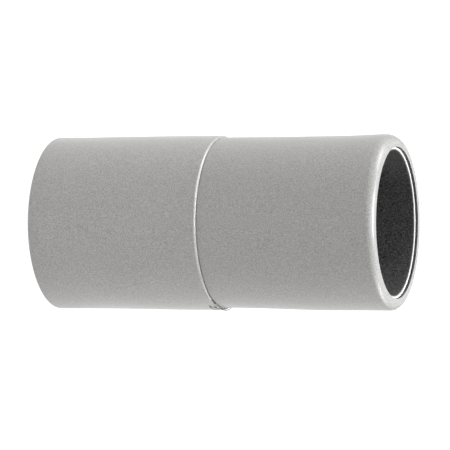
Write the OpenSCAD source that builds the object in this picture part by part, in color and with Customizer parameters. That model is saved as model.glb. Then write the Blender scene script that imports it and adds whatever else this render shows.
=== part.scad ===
// Hose cuff: a short straight coupling for a 2 inch hose and tube.
// Two light grey sleeves are drawn over one thin inner tube and meet at mid length,
// where the hose end stands a little proud of the tube end.
// A thin dark rubber lining covers the bore, with a low stop ring at its middle.
// The cuff stands on its hose end, with its axis along Z.

/* [Bore] */
// Diameter of the lined bore, which takes a 2 inch tube
bore_d = 50.8; // [40:0.1:60]
// Thickness of the rubber lining
lining_wall = 0.4; // [0.3:0.1:1.5]
// How far the lining stops short of the inner tube's ends
lining_setback = 0.45; // [0.3:0.05:3]
// Height of the stop ring above the bore
stop_h = 1.2; // [0.4:0.1:3]
// Width of the stop ring's flat top
stop_w = 2.4; // [1:0.1:6]
// Length of each slope of the stop ring
stop_slope = 1.2; // [0.4:0.1:4]

/* [Inner tube] */
// Wall of the inner tube
tube_wall = 0.7; // [0.5:0.05:3]
// How far the inner tube's ends lie inside the mouths
tube_setback = 0.8; // [0.5:0.05:4]
// Rounding of the inner tube's end edges
tube_edge_r = 0.15; // [0.1:0.05:0.2]
// Glue line between the inner tube and each sleeve
glue_line = 0.05; // [0.02:0.01:0.15]
// Glue line between the lining and the inner tube
lining_glue = 0.02; // [0.01:0.01:0.1]

/* [Hose end sleeve] */
// Length of the hose end sleeve
hose_len = 63.3; // [40:0.1:120]
// Wall of the hose end sleeve at the seam
hose_wall = 4.5; // [3.4:0.05:8]
// How much thinner the wall is at the mouth
hose_draft = 0.05; // [0:0.05:0.5]
// Rounding of the outer edge at the mouth
hose_rim_r = 0.8; // [0.3:0.1:1.2]
// Rounding of the outer edge at the seam
seam_edge_r = 0.5; // [0.1:0.05:0.6]

/* [Tube end sleeve] */
// Length of the tube end sleeve, with the seam's gap
tube_len = 64; // [40:0.1:120]
// Wall of the tube end sleeve at the seam
tube_end_wall = 3.7; // [3:0.05:8]
// How much thicker the wall is at the mouth
tube_end_flare = 0.45; // [0:0.05:1]
// Radial size of the rim's outer rounding
rim_round_w = 2.4; // [0.6:0.1:2.5]
// Axial size of the rim's outer rounding
rim_round_l = 3; // [0.6:0.1:6]
// Small rounding of the tube end sleeve's edge at the seam
tube_seam_edge_r = 0.25; // [0.1:0.05:0.6]

/* [Mouths] */
// Radial size of each mouth's inner rounding
mouth_round_w = 1.6; // [0.3:0.1:1.7]
// Axial size of that rounding, which ends at the sleeve's inner lip
mouth_round_l = 0.2; // [0.1:0.05:0.9]
// Depth of the groove that undercuts the lip round the inner tube
groove_w = 0.8; // [0.3:0.1:1]
// Distance of the groove's far end from the mouth
groove_l = 3; // [2:0.1:8]

/* [Seam] */
// Gap between the two sleeves at the seam
seam_gap = 0.2; // [0.1:0.05:0.8]
// Height of the bead of cement that was squeezed out of the seam
bead_h = 0.3; // [0.1:0.05:0.6]
// Radius of the bead's round section
bead_r = 1; // [0.5:0.1:1.4]
// How far the bead's arc is moved off the cuff's axis
bead_offset = 6; // [3:0.5:9]
// Distance of the bead from the seam
bead_back = 1.3; // [1:0.1:4]
// Direction of the bead around the axis, counted from X
bead_turn = -8; // [-180:1:180]

/* [Hidden] */

$fn = 128;
arc_steps = 8;
bead_sweep = 64;

total_len = hose_len + tube_len;
bore_r = bore_d / 2;
lining_r = bore_r + lining_wall;
tube_in_r = lining_r + lining_glue;
tube_out_r = tube_in_r + tube_wall;
sleeve_in_r = tube_out_r + glue_line;
groove_r = sleeve_in_r + groove_w;
groove_top = mouth_round_l + groove_w;
hose_seam_r = sleeve_in_r + hose_wall;
hose_mouth_r = hose_seam_r - hose_draft;
tube_seam_r = sleeve_in_r + tube_end_wall;
tube_mouth_r = tube_seam_r + tube_end_flare;
tube_seam_z = hose_len + seam_gap;
tube_low_z = tube_setback;
tube_high_z = total_len - tube_setback;
lining_low_z = tube_low_z + lining_setback;
lining_high_z = tube_high_z - lining_setback;
stop_low_z = hose_len - stop_w / 2;
stop_high_z = hose_len + stop_w / 2;

// Points of a quarter of an ellipse about a centre, from one angle to another
function arc_points(centre, size, from, to) = [
    for (i = [0:arc_steps])
        let (a = from + (to - from) * i / arc_steps)
        [centre[0] + size[0] * cos(a), centre[1] + size[1] * sin(a)]
];

module hose_end_sleeve() {
    mouth = [mouth_round_w, mouth_round_l];
    rim = [hose_rim_r, hose_rim_r];
    edge = [seam_edge_r, seam_edge_r];
    color("darkgray") union() {
        rotate_extrude() polygon(concat(
            [[sleeve_in_r, hose_len], [sleeve_in_r, groove_l]],
            [[groove_r, groove_l], [groove_r, groove_top]],
            arc_points([sleeve_in_r + mouth_round_w, mouth_round_l], mouth, 180, 270),
            arc_points([hose_mouth_r - hose_rim_r, hose_rim_r], rim, 270, 360),
            arc_points([hose_seam_r - seam_edge_r, hose_len - seam_edge_r], edge, 0, 90)
        ));
        seam_bead();
    }
}

// A crescent of squeezed out cement. Its arc is smaller than the sleeve and lies off
// the axis, so it rises out of the sleeve and sinks back into it.
module seam_bead() {
    reach = hose_seam_r + bead_h;
    rotate([0, 0, bead_turn])
        translate([bead_offset, 0, hose_len - bead_back])
            rotate([0, 0, -bead_sweep / 2])
                rotate_extrude(angle = bead_sweep)
                    translate([reach - bead_offset - bead_r, 0])
                        circle(r = bead_r, $fn = 32);
}

module tube_end_sleeve() {
    mouth = [mouth_round_w, mouth_round_l];
    rim = [rim_round_w, rim_round_l];
    edge = [tube_seam_edge_r, tube_seam_edge_r];
    color("silver") rotate_extrude() polygon(concat(
        [[groove_r, total_len - groove_top], [groove_r, total_len - groove_l]],
        [[sleeve_in_r, total_len - groove_l], [sleeve_in_r, tube_seam_z]],
        arc_points([tube_seam_r - tube_seam_edge_r, tube_seam_z + tube_seam_edge_r], edge, 270, 360),
        arc_points([tube_mouth_r - rim_round_w, total_len - rim_round_l], rim, 0, 90),
        arc_points([sleeve_in_r + mouth_round_w, total_len - mouth_round_l], mouth, 90, 180)
    ));
}

module inner_tube() {
    edge = [tube_edge_r, tube_edge_r];
    low_z = tube_low_z + tube_edge_r;
    high_z = tube_high_z - tube_edge_r;
    color("gainsboro") rotate_extrude() polygon(concat(
        arc_points([tube_in_r + tube_edge_r, low_z], edge, 180, 270),
        arc_points([tube_out_r - tube_edge_r, low_z], edge, 270, 360),
        arc_points([tube_out_r - tube_edge_r, high_z], edge, 0, 90),
        arc_points([tube_in_r + tube_edge_r, high_z], edge, 90, 180)
    ));
}

module bore_lining() {
    stop_r = bore_r - stop_h;
    color("dimgray") rotate_extrude() polygon([
        [bore_r, lining_low_z],
        [lining_r, lining_low_z],
        [lining_r, lining_high_z],
        [bore_r, lining_high_z],
        [bore_r, stop_high_z + stop_slope],
        [stop_r, stop_high_z],
        [stop_r, stop_low_z],
        [bore_r, stop_low_z - stop_slope]
    ]);
}

hose_end_sleeve();
tube_end_sleeve();
inner_tube();
bore_lining();
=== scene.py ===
# %% [markdown]
# # Hose cuff
# A hose cuff is a short straight coupling that joins a hose to a rigid tube. This one has two light grey vinyl
# sleeves on one thin inner tube. They meet at mid length, where the hose end sleeve stands a little proud of the
# other, and a dark rubber lining covers the bore. The cuff stands on its hose end, with the bore along Z.
#
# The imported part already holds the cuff's four solids, and each could be shown as it is, with a material on it.
# But its facets are coarse and its edges are quite true. So each piece is drawn again here as a fine surface that
# takes its solid's place, and the soft edges, the slow waves of the vinyl and the cement at the seam can be shaped
# as they are on a real cuff.

# %% Frame and starting size
import math
from collections import namedtuple

import bpy
import numpy as np
from mathutils import Matrix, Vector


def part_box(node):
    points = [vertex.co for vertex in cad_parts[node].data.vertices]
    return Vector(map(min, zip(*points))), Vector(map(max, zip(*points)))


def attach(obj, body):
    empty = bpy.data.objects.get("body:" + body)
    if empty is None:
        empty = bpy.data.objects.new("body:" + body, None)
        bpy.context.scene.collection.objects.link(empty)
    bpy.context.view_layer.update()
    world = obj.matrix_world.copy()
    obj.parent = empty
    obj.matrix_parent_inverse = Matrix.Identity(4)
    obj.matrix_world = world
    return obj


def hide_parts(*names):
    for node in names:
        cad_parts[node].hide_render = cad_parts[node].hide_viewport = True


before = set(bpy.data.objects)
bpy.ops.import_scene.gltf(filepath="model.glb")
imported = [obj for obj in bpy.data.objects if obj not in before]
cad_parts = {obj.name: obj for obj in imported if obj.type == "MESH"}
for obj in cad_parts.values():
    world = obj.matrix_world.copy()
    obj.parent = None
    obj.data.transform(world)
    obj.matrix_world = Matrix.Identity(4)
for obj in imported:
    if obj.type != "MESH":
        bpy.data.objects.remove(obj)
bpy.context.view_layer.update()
print("nodes", sorted(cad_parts))

# %% [markdown]
# ## Sizes
# On a drawing, the lengths and radii of a cuff are given in millimetres, while Blender counts in metres. The numbers
# could be typed in again here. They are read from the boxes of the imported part's nodes instead, so that the look
# can't drift from the solids. All lengths below stay in millimetres, as on the drawing, and a surface is turned
# into metres once, when its mesh is made.

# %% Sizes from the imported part
MM = 0.001


def node_size(name):
    """Radius and lowest and highest level of a node in millimetres, from its box."""
    low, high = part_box(name)
    return high.y / MM, low.z / MM, high.z / MM


hose_r, _, seam_z = node_size("hose_end_sleeve")
tube_r, tube_low, total_len = node_size("tube_end_sleeve")
core_r, core_low, core_high = node_size("inner_tube")
lining_r, lining_low, lining_high = node_size("bore_lining")
print("seam at", round(seam_z, 2), "length", round(total_len, 2))
print("radii", [round(r, 2) for r in (hose_r, tube_r, core_r, lining_r)])

# %% [markdown]
# ## Outlines
# Every piece of a cuff like this is moulded or extruded round one axis, so one closed outline of points in radius
# and height holds its whole shape. The outline could be a curve object drawn by hand. Here it is put together from
# straight sides and quarter ellipses, because the rounded edges then have the sizes that the drawing gives. Long
# sides get extra points, which the soft waves need later on.

# %% Outline functions
def arc(centre, size, start, end, steps=10):
    """Points of a quarter ellipse: the centre plus each half size times the cosine or sine of an angle."""
    angle = np.radians(np.linspace(start, end, steps + 1))
    return np.column_stack([centre[0] + size[0] * np.cos(angle), centre[1] + size[1] * np.sin(angle)])


def filled(corners, longest):
    """The same closed outline, each side cut into equal parts no longer than the given length.

    A point is the start of its side plus its share of the way along that side.
    """
    side = np.roll(corners, -1, axis=0) - corners
    parts = np.maximum(1, np.ceil(np.hypot(side[:, 0], side[:, 1]) / longest).astype(int))
    first = np.repeat(np.cumsum(parts) - parts, parts)
    share = (np.arange(parts.sum()) - first) / np.repeat(parts, parts)
    return np.repeat(corners, parts, axis=0) + np.repeat(side, parts, axis=0) * share[:, None]


print("a quarter ellipse has", len(arc([0, 0], [2, 1], 0, 90)), "points")

# %% [markdown]
# ## Turned surfaces
# The mould or the die of such a piece is turned on a lathe, and the Screw modifier would carry an outline round the
# axis in the same way. Here numpy works out the whole grid of points at once, one row for each point of the outline
# and one column for each step round the axis, because the grid can then be bent a little before it becomes a mesh.

# %% Sweep function
def turned(outline, turns, change=None):
    """Grid of an outline carried round Z: x and y are the radius times the cosine and sine of the turn.

    The change, where there is one, moves the radius and height by a function of the turn.
    """
    angle = np.linspace(0, 2 * math.pi, turns, endpoint=False)[None, :]
    radius = np.repeat(outline[:, :1], turns, axis=1)
    height = np.repeat(outline[:, 1:], turns, axis=1)
    if change is not None:
        radius, height = change(radius, height, angle)
    return np.stack([radius * np.cos(angle), radius * np.sin(angle), height], axis=-1)


print("four turns of three points make a grid of", turned(np.eye(3)[:, :2], 4).shape)

# %% [markdown]
# A mesh needs points and faces. The faces could be made one by one in a loop, which is slow for so many. The
# numbers of the four corners of every face are worked out as arrays here. The grid closes both ways, so the skin
# has no open edge, and the corners run round each face so that it looks outwards.

# %% Mesh functions
def make_mesh(name, points, faces):
    """A smooth shaded mesh object from points in millimetres, turned into metres."""
    mesh = bpy.data.meshes.new(name)
    mesh.from_pydata((points.reshape(-1, 3) * MM).tolist(), [], faces)
    mesh.polygons.foreach_set("use_smooth", np.ones(len(mesh.polygons), bool))
    mesh.update()
    made = bpy.data.objects.new(name, mesh)
    bpy.context.scene.collection.objects.link(made)
    print(name, len(mesh.vertices), "points", len(mesh.polygons), "faces")
    return made


def ring_mesh(name, grid):
    """Closes a grid both ways with quads, the last row joined to the first and the last column too."""
    index = np.arange(grid.shape[0] * grid.shape[1]).reshape(grid.shape[:2])
    right = np.roll(index, -1, axis=1)
    below = np.roll(index, -1, axis=0)
    corner = np.roll(right, -1, axis=0)
    return make_mesh(name, grid, np.stack([index, right, corner, below], axis=-1).reshape(-1, 4).tolist())


print("mesh helpers", [helper.__name__ for helper in (make_mesh, ring_mesh)])

# %% [markdown]
# ## Soft waviness
# Soft vinyl never comes out of the mould quite true. The wall swells and shrinks by a few hundredths of a
# millimetre, here and there a longer stretch stands out or lies in by two or three tenths, and one side of the rim
# sags. A Displace modifier with a noise texture could do this. Sine waves with whole numbers of rounds and bell
# curves in the turn are used instead, because they close without a seam and they can be placed one by one.

# %% Waves and swells
WAVE_HEIGHT = 0.035
WAVE_COUNT = 6
WAVE_SCALE = 1 / math.sqrt(WAVE_COUNT)
ROUNDS_RANGE = (1, 7)
RISES_RANGE = (0.02, 0.16)

Swell = namedtuple("Swell", "turn level round_reach long_reach rise")


def bell(swell, height, angle):
    """A swell's rise, which fades both ways.

    Round the axis it fades as e to the power of the turn's cosine less one over the reach squared, and along the
    axis as e to the power of minus the square of the distance over the reach.
    """
    round_fade = np.exp((np.cos(angle - math.radians(swell.turn)) - 1) / swell.round_reach**2)
    return swell.rise * round_fade * np.exp(-(((height - swell.level) / swell.long_reach) ** 2))


def seeded_waves(seed):
    """Whole numbers of waves round the axis, waves along it, and two phases for each, from a seed."""
    rng = np.random.default_rng(seed)
    rounds = rng.integers(*ROUNDS_RANGE, WAVE_COUNT)
    rises = rng.uniform(*RISES_RANGE, WAVE_COUNT)
    phases = rng.uniform(0, 2 * math.pi, (2, WAVE_COUNT))
    return rounds, rises, phases


print("waves round the axis for seed 11", seeded_waves(11)[0])

# %% [markdown]
# At the seam the sleeves' edges are not quite level either: they rise and fall a little, and on one side they lie
# lower and closer together. Proportional editing could pull them there by hand. One function makes all of these
# changes for a sleeve instead, so that the two edges move together and never touch.

# %% Change of a sleeve's shape
EDGE_HEIGHT = 0.015
EDGE_REACH = 1.5
EXTRA_EDGE_ROUNDS = 5
SAG_WIDTH = 2.5
SAG_REACH = 3.0


def waviness(seed, inner, outer, edge_z, close_up, swells, sag=0.0, rim_z=0.0):
    """A change for turned(): a sum of sine waves in the turn and the height moves the outside in and out.

    It fades to nothing at the bore. The edge at the seam is lifted and lowered by a few slow waves, and lowered
    by the close up distance times one minus the cosine of the turn, both fading with the distance from the edge.
    The sag lowers the outer part of the rim by its share times one minus the cosine of the turn.
    """
    rounds, rises, phases = seeded_waves(seed)

    def change(radius, height, angle):
        fade = np.clip((radius - inner) / (outer - inner), 0, 1) ** 2
        wave = sum(np.sin(n * angle + k * height + p) for n, k, p in zip(rounds, rises, phases[0]))
        lift = sum(np.sin((n + EXTRA_EDGE_ROUNDS) * angle + p) for n, p in zip(rounds, phases[1]))
        near = np.exp(-np.abs(height - edge_z) / EDGE_REACH) * fade
        edge = EDGE_HEIGHT * WAVE_SCALE * lift - close_up * (1 - np.cos(angle))
        out = WAVE_HEIGHT * WAVE_SCALE * wave + sum(bell(swell, height, angle) for swell in swells)
        if sag:
            share = np.clip((radius - outer) / SAG_WIDTH + 1, 0, 1) ** 2
            share = share * np.exp(np.minimum(height - rim_z, 0) / SAG_REACH)
            height = height - sag * share * (1 - np.cos(angle))
        return radius + out * fade, height + edge * near

    return change


print("waves up to", WAVE_HEIGHT, "mm, seam edge up to", EDGE_HEIGHT, "mm")

# %% [markdown]
# ## Mouths
# Both ends of the cuff open in the same way: an inner rounding ends in a thin lip, and behind the lip a narrow
# groove runs round the inner tube, which shows as a dark line. The groove could be painted on as a dark ring. It is
# cut into the sleeve for real, because it has to be dark from every side and in any light.

# %% Sizes of both mouths
TURNS = 320
LONGEST = 1.0
GLUE_LINE = 0.05
sleeve_in_r = core_r + GLUE_LINE
groove_wide, groove_len = 0.8, 3.0
mouth_size = [1.6, 0.12]
lip_thick = 0.35
groove_r = sleeve_in_r + groove_wide
lip_r = sleeve_in_r + mouth_size[0]
undercut = mouth_size[1] + lip_thick
print("groove radius", round(groove_r, 2), "and the lip is undercut at", round(undercut, 2))

# %% [markdown]
# ## Hose end sleeve
# The lower sleeve is a soft vinyl tube, slightly narrower at the mouth than at the seam. Its rounded seam edge is
# what catches the light all round the cuff. A cylinder with a Bevel modifier would give one width of rounding
# everywhere. An outline is used because the lip, the rim and the seam edge each have a rounding of their own.

# %% Hose end sleeve
hose_taper = 0.05
hose_rim_round = 0.8
seam_round = 0.6
hose_mouth_r = hose_r - hose_taper

hose_outline = filled(np.vstack([
    [[sleeve_in_r, seam_z], [sleeve_in_r, groove_len], [groove_r, groove_len], [groove_r, undercut]],
    arc([lip_r, mouth_size[1]], mouth_size, 180, 270),
    arc([hose_mouth_r - hose_rim_round, hose_rim_round], [hose_rim_round, hose_rim_round], 270, 360),
    arc([hose_r - seam_round, seam_z - seam_round], [seam_round, seam_round], 0, 90),
]), LONGEST)
hose_swells = [
    Swell(turn=0, level=seam_z - 15, round_reach=0.6, long_reach=12, rise=0.15),
    Swell(turn=180, level=seam_z - 53, round_reach=0.8, long_reach=12, rise=-0.15),
]
hose_wave = waviness(
    seed=11, inner=sleeve_in_r, outer=hose_r, edge_z=seam_z, close_up=0.15, swells=hose_swells)
hose_sleeve = ring_mesh("hose_sleeve_vinyl", turned(hose_outline, TURNS, hose_wave))

# %% [markdown]
# ## Tube end sleeve
# The upper sleeve is a little thinner at the seam and a little thicker at its mouth. Its rim is a wide soft
# rounding, the part of the cuff that one sees first, and rolls over into the mouth. It is made in the same way as
# the other sleeve, with more points on the rim, because the light runs along that rounding and would show facets.

# %% Tube end sleeve
tube_flare = 0.45
tube_seam_round = 0.12
rim_size = [2.5, 2.6]
rim_steps = 24
tube_seam_r = tube_r - tube_flare
rim_z = total_len - rim_size[1]

tube_outline = filled(np.vstack([
    [[groove_r, total_len - undercut], [groove_r, total_len - groove_len]],
    [[sleeve_in_r, total_len - groove_len], [sleeve_in_r, tube_low]],
    arc([tube_seam_r - tube_seam_round, tube_low + tube_seam_round],
        [tube_seam_round, tube_seam_round], 270, 360),
    arc([tube_r - rim_size[0], rim_z], rim_size, 0, 90, rim_steps),
    arc([lip_r, total_len - mouth_size[1]], mouth_size, 90, 180),
]), LONGEST)
tube_swells = [
    Swell(turn=180, level=seam_z + 4, round_reach=1.0, long_reach=9, rise=0.17),
    Swell(turn=0, level=seam_z + 36, round_reach=0.6, long_reach=14, rise=0.3),
    Swell(turn=180, level=seam_z + 60, round_reach=0.7, long_reach=8, rise=0.3),
]
tube_wave = waviness(
    seed=23, inner=sleeve_in_r, outer=tube_r, edge_z=seam_z, close_up=0.22, swells=tube_swells,
    sag=0.5, rim_z=rim_z)
tube_sleeve = ring_mesh("tube_sleeve_vinyl", turned(tube_outline, TURNS, tube_wave))

# %% [markdown]
# ## Inner tube
# The thin pale tube inside carries both sleeves. It is rigid, so it stays quite true and gets no waves. Its ends
# stand a little back from the mouths, and the upper one shows as the pale ring just inside the rim. Solidify on a
# plain cylinder would give its wall, but not the small roundings that make the ring shine, so it is turned too.

# %% Inner tube
LINING_GLUE = 0.02
core_lowered = 0.25
core_round = 0.15
core_in_r = lining_r + LINING_GLUE
core_top = core_high - core_lowered
core_size = [core_round, core_round]

core_outline = filled(np.vstack([
    arc([core_in_r + core_round, core_low + core_round], core_size, 180, 270),
    arc([core_r - core_round, core_low + core_round], core_size, 270, 360),
    arc([core_r - core_round, core_top - core_round], core_size, 0, 90),
    arc([core_in_r + core_round, core_top - core_round], core_size, 90, 180),
]), LONGEST)
core_tube = ring_mesh("inner_tube_pale", turned(core_outline, TURNS))

# %% [markdown]
# ## Bore lining
# The lining is a thin black rubber skin that grips the tube. A low ring with sloping sides at its middle stops
# the tube and the hose, and its ends stop short of the inner tube's. It could be a second material on the inner
# tube. It is a piece of its own, because it is one on a real cuff and its edge shows in the mouth.

# %% Bore lining
lining_wall = 0.4
stop_high = 1.2
stop_half = 1.2
stop_slope = 1.2
lining_round = 0.15
lining_steps = 4
lining_size = [lining_round, lining_round]
bore_r = lining_r - lining_wall
stop_r = bore_r - stop_high

lining_outline = filled(np.vstack([
    arc([bore_r + lining_round, lining_low + lining_round], lining_size, 180, 270, lining_steps),
    arc([lining_r - lining_round, lining_low + lining_round], lining_size, 270, 360, lining_steps),
    arc([lining_r - lining_round, lining_high - lining_round], lining_size, 0, 90, lining_steps),
    arc([bore_r + lining_round, lining_high - lining_round], lining_size, 90, 180, lining_steps),
    [[bore_r, seam_z + stop_half + stop_slope], [stop_r, seam_z + stop_half]],
    [[stop_r, seam_z - stop_half], [bore_r, seam_z - stop_half - stop_slope]],
]), LONGEST)
lining = ring_mesh("bore_lining_rubber", turned(lining_outline, TURNS))

# %% [markdown]
# ## Cement at the seam
# When the sleeves were pushed together some cement came out at one side and set there, in low ridges, threads and
# a drop. Sculpting would make such shapes, but they couldn't be moved or measured well afterwards. Each is a row of
# rings instead, joined with quads and closed with a fan of triangles at each end.

# %% Cord mesh
def cord_mesh(name, grid):
    """Closes a grid of rings into a cord, with the mean of its first and of its last ring as end points."""
    rows, columns = grid.shape[:2]
    index = np.arange(rows * columns).reshape(rows, columns)
    right = np.roll(index, -1, axis=1)
    quads = np.stack([index[:-1], index[1:], right[1:], right[:-1]], axis=-1).reshape(-1, 4)
    low = np.stack([np.full(columns, rows * columns), index[0], right[0]], axis=-1)
    high = np.stack([np.full(columns, rows * columns + 1), right[-1], index[-1]], axis=-1)
    points = np.vstack([grid.reshape(-1, 3), grid[0].mean(axis=0), grid[-1].mean(axis=0)])
    return make_mesh(name, points, quads.tolist() + low.tolist() + high.tolist())


print("mesh helper", cord_mesh.__name__)

# %% [markdown]
# A ridge of cement lies along the wall, is widest in its middle and runs out to nothing at both ends. A stretched
# sphere has that shape, but it wouldn't bend round the sleeve. The cord below follows an arc round the axis.

# %% Cord function
CORD_END = 0.995
CORD_RINGS = 61
CORD_POINTS = 28
CORD_SINK = 0.55


def cord(name, turn, level, rise, half_turn, half_wide, base_r, lean=0.0):
    """A tapered cord on the outside of the cuff.

    Its middle line is an arc round the axis at the given turn in degrees, moved along Z by the lean times the
    cube of the way along it. Its section is an ellipse that shrinks as the square root of one minus the way
    squared, and the middle line sinks as the section shrinks.
    """
    way = np.linspace(-CORD_END, CORD_END, CORD_RINGS)[:, None]
    around = np.linspace(0, 2 * math.pi, CORD_POINTS, endpoint=False)[None, :]
    full = np.sqrt(1 - way**2)
    angle = np.radians(turn + half_turn * way)
    radius = base_r + rise * (full - CORD_SINK) + rise * full * np.cos(around)
    height = level + lean * way**3 + half_wide * full * np.sin(around)
    return cord_mesh(name, np.stack([radius * np.cos(angle), radius * np.sin(angle), height + 0 * angle], axis=-1))


print("a cord has", CORD_RINGS, "rings of", CORD_POINTS, "points")

# %% [markdown]
# A low crescent lies on the hose end sleeve just short of the seam, and a faint smear on the tube end sleeve just
# past it. A bump in the finish could hint at them, but it wouldn't show in the cuff's outline, so they are real
# ridges.

# %% Cement crescent and smear
grey_cement = [
    cord("seam_cement_crescent", turn=-12, level=seam_z - 1.3, rise=0.2, half_turn=8, half_wide=0.8,
         base_r=hose_r),
    cord("seam_cement_smear", turn=-8, level=seam_z + 2.2, rise=0.12, half_turn=9, half_wide=0.4,
         base_r=tube_seam_r, lean=0.5),
]

# %% [markdown]
# Thin threads of cement run beside the crescent, coloured near black as painted shade for the shade lines there. A
# bevelled curve object could follow such paths. Here the path is a smooth cubic through a few stations on the cuff,
# because each station is given by its turn, its level over the seam and its height over the wall, just as it would
# be marked out on the real cuff.

# %% Smooth path
def smooth_path(knots, steps):
    """Points on a line through the knots: between two knots, the cubic that keeps the slope of the neighbours."""
    ends = np.vstack([2 * knots[0] - knots[1], knots, 2 * knots[-1] - knots[-2]])
    share = np.linspace(0, 1, steps, endpoint=False)[:, None, None]
    before, start, end, after = ends[:-3], ends[1:-2], ends[2:-1], ends[3:]
    bend = 2 * before - 5 * start + 4 * end - after
    twist = 3 * start - before - 3 * end + after
    path = (2 * start + share * (end - before) + share**2 * bend + share**3 * twist) / 2
    return np.vstack([path.transpose(1, 0, 2).reshape(-1, 3), knots[-1:]])


print("a path through 3 knots in 8 steps has", len(smooth_path(np.eye(3), 8)), "points")

# %% [markdown]
# Along that path the thread is round and thin, and it narrows at both ends, as cement does where it breaks off.
# A circle carried along the path by Blender's own curve bevel could twist. Each ring here is laid out from the
# direction that points away from the axis, so it can't.

# %% Thread function
THREAD_END = 0.99
THREAD_POINTS = 12


def thread(name, base_r, thick, stations, steps=8):
    """A thin thread through stations given as turn in degrees, level over the seam and height over a radius.

    The section is a circle across the path, and its radius is the thickness times one minus the fourth power of
    the way along the path, so the thread narrows at both ends.
    """
    path = smooth_path(np.array(stations, float) + [0, seam_z, base_r], steps)
    angle = np.radians(path[:, 0])
    outward = np.column_stack([np.cos(angle), np.sin(angle), 0 * angle])
    middle = outward * path[:, 2:] + np.array([0, 0, 1.0]) * path[:, 1:2]
    along = np.gradient(middle, axis=0)
    along /= np.linalg.norm(along, axis=1, keepdims=True)
    across = np.cross(along, outward)
    across /= np.linalg.norm(across, axis=1, keepdims=True)
    upward = np.cross(across, along)
    way = np.linspace(-THREAD_END, THREAD_END, len(path))
    width = (thick * (1 - way**4))[:, None, None]
    around = np.linspace(0, 2 * math.pi, THREAD_POINTS, endpoint=False)[None, :, None]
    rings = np.cos(around) * upward[:, None] + np.sin(around) * across[:, None]
    return cord_mesh(name, (middle[:, None] + width * rings)[:, ::-1])


print("a thread's ring has", THREAD_POINTS, "points")

# %% [markdown]
# There are four of them: one round the crescent's outline, a fold inside it, a fill in the seam beside it, and one
# that curls off the edge. Their near black colour is painted shade for the shade lines at these places. Dark lines
# in the finish would be quicker, but the curl stands clear of the sleeve's outline, and all four then catch the
# light in the same way.

# %% Cement threads in painted shade
painted_shade_threads = [
    thread("seam_painted_shade_outline", base_r=hose_r, thick=0.17, stations=[
        (-20.5, -2.2, -0.05), (-18, -2.25, 0.1), (-14.5, -2.2, 0.1), (-11, -2.25, 0.1),
        (-8, -2.15, 0.1), (-6.8, -1.7, 0.1), (-8, -1.1, 0.1), (-10.5, -0.6, -0.05)]),
    thread("seam_painted_shade_fold", base_r=hose_r, thick=0.12, stations=[
        (-17.2, -1.5, 0), (-17.3, -0.9, 0.1), (-15.8, -0.5, 0.1), (-13, -0.4, 0), (-10, -0.5, -0.1)]),
    thread("seam_painted_shade_fill", base_r=tube_seam_r, thick=0.28, stations=[
        (-28, 0, -0.05), (-25, 0.05, 0.15), (-21.5, 0.05, 0.2), (-19, 0.05, 0)]),
    thread("seam_painted_shade_curl", base_r=hose_r, thick=0.14, stations=[
        (-14, 0.4, -0.35), (-11.5, 0.5, -0.1), (-8, 0.45, 0), (-4, 0.4, 0.05),
        (1, 0.45, 0.1), (6, 0.5, 0.05), (12, 0.55, -0.1)]),
]

# %% [markdown]
# Last, one small pale drop sits on the seam's edge, a painted glint where the cement catches the light. A tiny
# sphere would do, but the short cord sinks into the edge by itself, so it is used once more.

# %% Painted glint on the cement
painted_glint_drop = cord(
    "seam_painted_glint_drop", turn=-15, level=seam_z + 0.2, rise=0.12, half_turn=1.2, half_wide=0.3, base_r=hose_r - 0.1)

# %% [markdown]
# ## Node helpers
# A finish in Blender is a small network of nodes, and it could be wired by hand in the Shader Editor. Written as a
# script, each finish stays a few plain lines once the repeated steps have names: joining two nodes, making a
# noise, carrying a value to another range, and multiplying two values.

# %% Node functions
def link(tree, source, output, target, socket):
    """Joins one node's output to another's input."""
    tree.links.new(source.outputs[output], target.inputs[socket])


def noise(tree, coordinates, scale, detail, rough=0.5):
    """A noise node in object coordinates."""
    made = tree.nodes.new("ShaderNodeTexNoise")
    made.inputs["Scale"].default_value = scale
    made.inputs["Detail"].default_value = detail
    made.inputs["Roughness"].default_value = rough
    link(tree, coordinates, "Object", made, "Vector")
    return made


def mapped(tree, source, output, before, after):
    """A map range node that carries a node's output from the range before to the range after."""
    made = tree.nodes.new("ShaderNodeMapRange")
    for socket, value in zip(("From Min", "From Max", "To Min", "To Max"), (*before, *after)):
        made.inputs[socket].default_value = value
    link(tree, source, output, made, "Value")
    return made


def product(tree, first, second):
    """A math node that multiplies the first outputs of two nodes."""
    made = tree.nodes.new("ShaderNodeMath")
    made.operation = "MULTIPLY"
    link(tree, first, 0, made, 0)
    link(tree, second, 0, made, 1)
    return made


print("node helpers", [helper.__name__ for helper in (link, noise, mapped, product)])

# %% [markdown]
# ## Painted highlight and rubbed edge
# The proud edge of the hose end sleeve is touched most, and over its last six tenths of a millimetre the vinyl is
# rubbed smoother. The same band is painted paler, which is a painted highlight for the light line along the seam's
# edge. Both are weaker beside the cement and across from it. A second material on those faces would end in a hard
# line. A mask that fades in over a quarter of a millimetre, made from the height and from the place along X, is used
# instead.

# %% Mask of the painted highlight and the rubbed edge
# Band and side shares of the painted highlight on the seam's edge, which also mark where the vinyl is rubbed
# smoother.
HIGHLIGHT_AND_RUB_STARTS, HIGHLIGHT_AND_RUB_IS_FULL = 0.85, 0.6
CEMENT_SIDE, CEMENT_SIDE_HIGHLIGHT_AND_RUB = (0.010, 0.024), (1.0, 0.15)
FAR_SIDE, FAR_SIDE_HIGHLIGHT_AND_RUB = (-0.026, -0.014), (0.35, 1.0)


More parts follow.
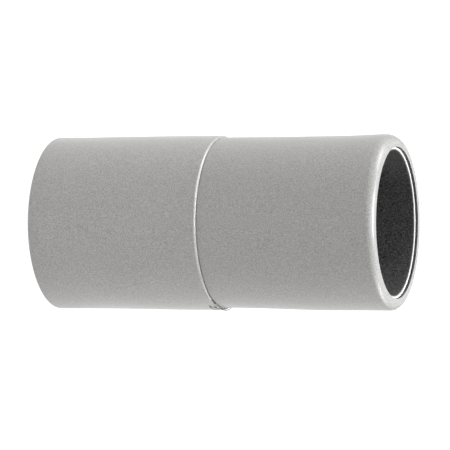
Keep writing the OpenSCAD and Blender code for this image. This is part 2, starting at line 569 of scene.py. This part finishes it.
def highlight_and_rub_mask(tree, coordinates, edge_z):
    """One just under the edge level, nought below the band, times a share for each side of the cuff. It carries a
    painted highlight and the rubbed smoothness.
    """
    place = tree.nodes.new("ShaderNodeSeparateXYZ")
    link(tree, coordinates, "Object", place, "Vector")
    band = ((edge_z - HIGHLIGHT_AND_RUB_STARTS) * MM, (edge_z - HIGHLIGHT_AND_RUB_IS_FULL) * MM)
    near_edge = mapped(tree, place, "Z", band, (0.0, 1.0))
    cement_side = mapped(tree, place, "X", CEMENT_SIDE, CEMENT_SIDE_HIGHLIGHT_AND_RUB)
    far_side = mapped(tree, place, "X", FAR_SIDE, FAR_SIDE_HIGHLIGHT_AND_RUB)
    return product(tree, near_edge, product(tree, cement_side, far_side))


print("rubbed from", HIGHLIGHT_AND_RUB_STARTS, "mm below the edge, in full from", HIGHLIGHT_AND_RUB_IS_FULL, "mm")

# %% [markdown]
# Where the mask is one, the finish becomes paler, shinier and flatter. The paler tone is a painted highlight, and
# the shine and the flatter bump are the rubbed vinyl. Two shaders could be mixed by the mask. It is enough to
# multiply the tone and the sheen of the one shader, which keeps the grain in that band as well.

# %% Painted highlight and rubbed finish
# The tone factor is a painted highlight; the sheen and the bump factors are the rubbed vinyl.
PAINTED_HIGHLIGHT_TONE, RUBBED_SHEEN = 1.75, 0.35
BUMP_STRENGTH, RUBBED_BUMP = 0.6, 0.1
WHOLE_MASK = (0.0, 1.0)


def rub_and_paint_highlight(tree, mask, tone, sheen, bump):
    """The tone times a factor that goes from one to the painted highlight's value, the sheen times one that goes to
    its rubbed value, and a bump that flattens.
    """
    tone = product(tree, tone, mapped(tree, mask, "Value", WHOLE_MASK, (1.0, PAINTED_HIGHLIGHT_TONE)))
    sheen = product(tree, sheen, mapped(tree, mask, "Value", WHOLE_MASK, (1.0, RUBBED_SHEEN)))
    flatter = mapped(tree, mask, "Value", WHOLE_MASK, (BUMP_STRENGTH, RUBBED_BUMP))
    link(tree, flatter, "Result", bump, "Strength")
    return tone, sheen


# The paleness printed here is a painted highlight on the seam's edge.
print("the rubbed part is", PAINTED_HIGHLIGHT_TONE, "times as pale")

# %% [markdown]
# ## Finishes
# Real moulded vinyl is never one flat colour: it has a fine grain, slow cloudiness in its tone and a sheen that
# comes and goes. A photographed texture could show that, but it would stretch on the rim and store a picture. All
# of it comes from noise in the object's own coordinates instead, so it fits any shape and stays sharp close up.

# %% Grained finish
GRAIN_DETAIL, GRAIN_ROUGH, GRAIN_RANGE = 3.0, 0.6, (0.35, 0.65)
CLOUD_SCALE, CLOUD_DETAIL, CLOUD_RANGE = 45.0, 2.0, (0.3, 0.7)
SHEEN_SWING = 0.04


def to_shader(tree, colour, tone, sheen, bump):
    """Joins the tone, as a multiple of the colour, the sheen and the bump to the shader."""
    shader = tree.nodes["Principled BSDF"]
    tint = tree.nodes.new("ShaderNodeVectorMath")
    tint.operation = "SCALE"
    tint.inputs[0].default_value = colour
    link(tree, tone, "Value", tint, "Scale")
    link(tree, tint, "Vector", shader, "Base Color")
    link(tree, sheen, 0, shader, "Roughness")
    link(tree, bump, "Normal", shader, "Normal")


def grained(name, colour, grain_scale, grain_tone, cloud_tone, gloss, bump_depth, edge_z=None):
    """A grained finish: fine noise sets the tone and the bump, slow noise the cloudiness and the sheen.

    Where an edge level is given, in millimetres, the mask below it makes the finish smooth, as rubbed vinyl, and
    paler, which is a painted highlight.
    """
    material = bpy.data.materials.new(name)
    material.use_nodes = True
    tree = material.node_tree
    coordinates = tree.nodes.new("ShaderNodeTexCoord")
    grain = noise(tree, coordinates, grain_scale, GRAIN_DETAIL, GRAIN_ROUGH)
    cloud = noise(tree, coordinates, CLOUD_SCALE, CLOUD_DETAIL)
    grain_value = mapped(tree, grain, "Fac", GRAIN_RANGE, (1 - grain_tone, 1 + grain_tone))
    cloud_value = mapped(tree, cloud, "Fac", CLOUD_RANGE, (1 - cloud_tone, 1 + cloud_tone))
    tone = product(tree, grain_value, cloud_value)
    sheen = mapped(tree, cloud, "Fac", CLOUD_RANGE, (gloss - SHEEN_SWING, gloss + SHEEN_SWING))
    bump = tree.nodes.new("ShaderNodeBump")
    bump.inputs["Strength"].default_value = BUMP_STRENGTH
    bump.inputs["Distance"].default_value = bump_depth
    link(tree, grain, "Fac", bump, "Height")
    # Below the seam's edge the tone carries a painted highlight, and the sheen and the bump carry the rubbed vinyl.
    if edge_z is not None:
        tone, sheen = rub_and_paint_highlight(tree, highlight_and_rub_mask(tree, coordinates, edge_z), tone, sheen, bump)
    to_shader(tree, colour, tone, sheen, bump)
    print("finish", name, colour)
    return material


# %% [markdown]
# The sleeves are matt warm grey vinyl, and the tube end's copy is a shade darker, which is painted shade for the
# light that falls off toward the mouth. The inner tube is a paler rigid vinyl with hardly any grain, the lining a
# matt black rubber with a coarse grain, and the cement threads are almost black, which is painted shade for the
# shade lines at the seam. One function makes all five, because they differ only in colour, grain and gloss.

# %% The five finishes
hose_vinyl = grained(
    "hose_end_vinyl", colour=(0.335, 0.33, 0.32), grain_scale=2700.0, grain_tone=0.26, cloud_tone=0.02,
    gloss=0.32, bump_depth=0.00005, edge_z=seam_z)
# The tube end's colour is a shade darker as painted shade for the light falling off toward the mouth.
tube_vinyl = grained(
    "tube_end_vinyl", colour=(0.322, 0.317, 0.308), grain_scale=2700.0, grain_tone=0.26, cloud_tone=0.02,
    gloss=0.32, bump_depth=0.00005)
pale_vinyl = grained(
    "inner_tube_vinyl", colour=(0.74, 0.74, 0.73), grain_scale=2200.0, grain_tone=0.05, cloud_tone=0.02,
    gloss=0.4, bump_depth=0.00002)
black_rubber = grained(
    "lining_rubber", colour=(0.080, 0.080, 0.080), grain_scale=2100.0, grain_tone=0.95, cloud_tone=0.10,
    gloss=0.50, bump_depth=0.00020)
# The near black cement finish is painted shade for the shade lines at the seam.
painted_shade_cement = grained(
    "cement_painted_shade", colour=(0.045, 0.044, 0.042), grain_scale=1500.0, grain_tone=0.20, cloud_tone=0.08,
    gloss=0.45, bump_depth=0.00005)

# %% [markdown]
# ## Finishes on the pieces
# Each piece now gets its finish and the body that it moves with, and the slot of the part's record that it belongs
# to is printed beside it. The cuff has one body, so every piece rides on root. The four turned pieces stand in for
# the four solids.
# This could be done where each piece is made. It is done in one place, so that one can see at a glance what is
# made of what.

# %% Finish and body of every piece, with its slot printed
for piece, material, slot in (
    (hose_sleeve, hose_vinyl, "sleeve_grey"),
    (tube_sleeve, tube_vinyl, "sleeve_grey"),
    (core_tube, pale_vinyl, "tube_light_grey"),
    (lining, black_rubber, "lining_black"),
    *((piece, hose_vinyl, "sleeve_grey") for piece in grey_cement),
    # The dark threads carry the painted shade finish.
    *((piece, painted_shade_cement, "lining_black") for piece in painted_shade_threads),
    # The pale drop is a painted glint on the cement.
    (painted_glint_drop, pale_vinyl, "tube_light_grey"),
):
    piece.data.materials.append(material)
    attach(piece, "root")
    print(piece.name, "has", material.name, "in slot", slot)

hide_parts("hose_end_sleeve")
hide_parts("tube_end_sleeve")
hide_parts("inner_tube")
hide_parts("bore_lining")

# %% [markdown]
# ## Floor
# The cuff stands on a pale table that fills the picture behind it. In a real studio the table would be lit from
# all round until it turns white. Many lamps could do that here too, but they would also light the cuff. So the
# table glows softly by itself, and its glow falls off away from the cuff, which keeps the cuff's sides from
# turning too pale.

# %% Floor
FLOOR_HALF = 6.0
FLOOR_COLOUR = (0.1, 0.1, 0.1, 1)
FLOOR_ROUGH = 0.9
GLOW_DISTANCES, GLOW_STRENGTHS = (0.55, 1.3), (1.0, 0.6)
WHITE = (1, 1, 1, 1)

floor_points = np.array([[-1, -1, 0], [1, -1, 0], [1, 1, 0], [-1, 1, 0]]) * FLOOR_HALF / MM
floor = make_mesh("floor", floor_points, [(0, 1, 2, 3)])
floor_material = bpy.data.materials.new("floor_pale")
floor_material.use_nodes = True
floor_tree = floor_material.node_tree
floor_shader = floor_tree.nodes["Principled BSDF"]
floor_shader.inputs["Base Color"].default_value = FLOOR_COLOUR
floor_shader.inputs["Roughness"].default_value = FLOOR_ROUGH
floor_shader.inputs["Emission Color"].default_value = WHITE
floor_place = floor_tree.nodes.new("ShaderNodeTexCoord")
floor_distance = floor_tree.nodes.new("ShaderNodeVectorMath")
floor_distance.operation = "LENGTH"
link(floor_tree, floor_place, "Object", floor_distance, "Vector")
floor_glow = mapped(floor_tree, floor_distance, "Value", GLOW_DISTANCES, GLOW_STRENGTHS)
floor_glow.interpolation_type = "SMOOTHSTEP"
link(floor_tree, floor_glow, "Result", floor_shader, "Emission Strength")
floor.data.materials.append(floor_material)

# %% [markdown]
# ## Light
# A faint white room lifts the shadows, and four soft boxes shape the cuff: one above it, a long strip in front
# that draws the light line on the rim, and one behind it on each side that brightens its long edges. A picture of
# a real studio round the scene could give the same light. Area lamps are used because each can be moved alone.

# %% Room
ROOM_STRENGTH = 0.25
world = bpy.data.worlds.new("room")
world.use_nodes = True
world.node_tree.nodes["Background"].inputs["Color"].default_value = WHITE
world.node_tree.nodes["Background"].inputs["Strength"].default_value = ROOM_STRENGTH
bpy.context.scene.world = world
print("room strength", ROOM_STRENGTH)


# %% Soft boxes
def soft_box(name, place, target, size, power, tint=(1.0, 1.0, 1.0)):
    """A rectangular area lamp that faces its target. Its width runs level, across the line between the two."""
    lamp = bpy.data.lights.new(name, "AREA")
    lamp.shape = "RECTANGLE"
    lamp.size, lamp.size_y = size
    lamp.energy = power
    lamp.color = tint
    made = bpy.data.objects.new(name, lamp)
    bpy.context.scene.collection.objects.link(made)
    back = np.subtract(place, target) / np.linalg.norm(np.subtract(place, target))
    side = np.cross([0.0, 0.0, 1.0], back)
    side /= np.linalg.norm(side)
    axes = np.column_stack([side, np.cross(back, side), back])
    made.matrix_world = Matrix.Translation(place) @ Matrix(axes.tolist()).to_4x4()
    print(name, "at", place, "with", power, "watts")


soft_box("top_box", place=(-0.13, 0.02, 1.3), target=(0, 0, 0.1), size=(0.3, 0.6), power=22.0,
         tint=(0.955, 0.975, 1.0))
soft_box("key_strip", place=(-0.15, -1.26, 1.97), target=(0, 0, 0.12), size=(1.1, 0.18), power=15.0)
soft_box("upper_side_box", place=(-0.9, 0.4, 0.85), target=(0, 0, 0.1), size=(0.5, 0.5), power=8.0)
soft_box("lower_side_box", place=(0.9, 0.45, 0.75), target=(0, 0, 0.1), size=(0.5, 0.5), power=8.0)

# %% [markdown]
# ## Camera
# The cuff was photographed from a little above its mouth with the camera on its side, so that the bore runs
# across the picture. A camera could be aimed by eye through the viewport. This one is placed by numbers: its
# distance and lens were fitted to the cuff's outline, and it moves sideways until the seam's centre lands on its
# own point of the picture.

# %% Camera place
PICTURE_WIDTH = 450
look_down = math.radians(19.4)
distance = 1030.0
focal_pixels = 2889.0
seam_in_picture = (224.45, 222.3)

right = np.array([0, math.sin(look_down), math.cos(look_down)])
up = np.array([-1.0, 0, 0])
back = np.array([0, -math.cos(look_down), math.sin(look_down)])
middle = (PICTURE_WIDTH - 1) / 2
shift_right = (seam_in_picture[0] - middle) * distance / focal_pixels
shift_up = (middle - seam_in_picture[1]) * distance / focal_pixels
place = np.array([0, 0, seam_z]) + distance * back - shift_right * right - shift_up * up
print("camera at", [round(v, 1) for v in place], "mm")

# %% Camera
SENSOR = 36.0
CLIP_END = 50.0
camera_data = bpy.data.cameras.new("camera")
camera_data.sensor_width = SENSOR
camera_data.lens = focal_pixels * SENSOR / PICTURE_WIDTH
camera_data.clip_end = CLIP_END
camera = bpy.data.objects.new("camera", camera_data)
bpy.context.scene.collection.objects.link(camera)
turn = Matrix(np.column_stack([right, up, back]).tolist()).to_4x4()
camera.matrix_world = Matrix.Translation((place * MM).tolist()) @ turn
bpy.context.scene.camera = camera
bpy.context.scene.view_settings.view_transform = "Standard"
print("lens", round(camera_data.lens, 1), "mm")
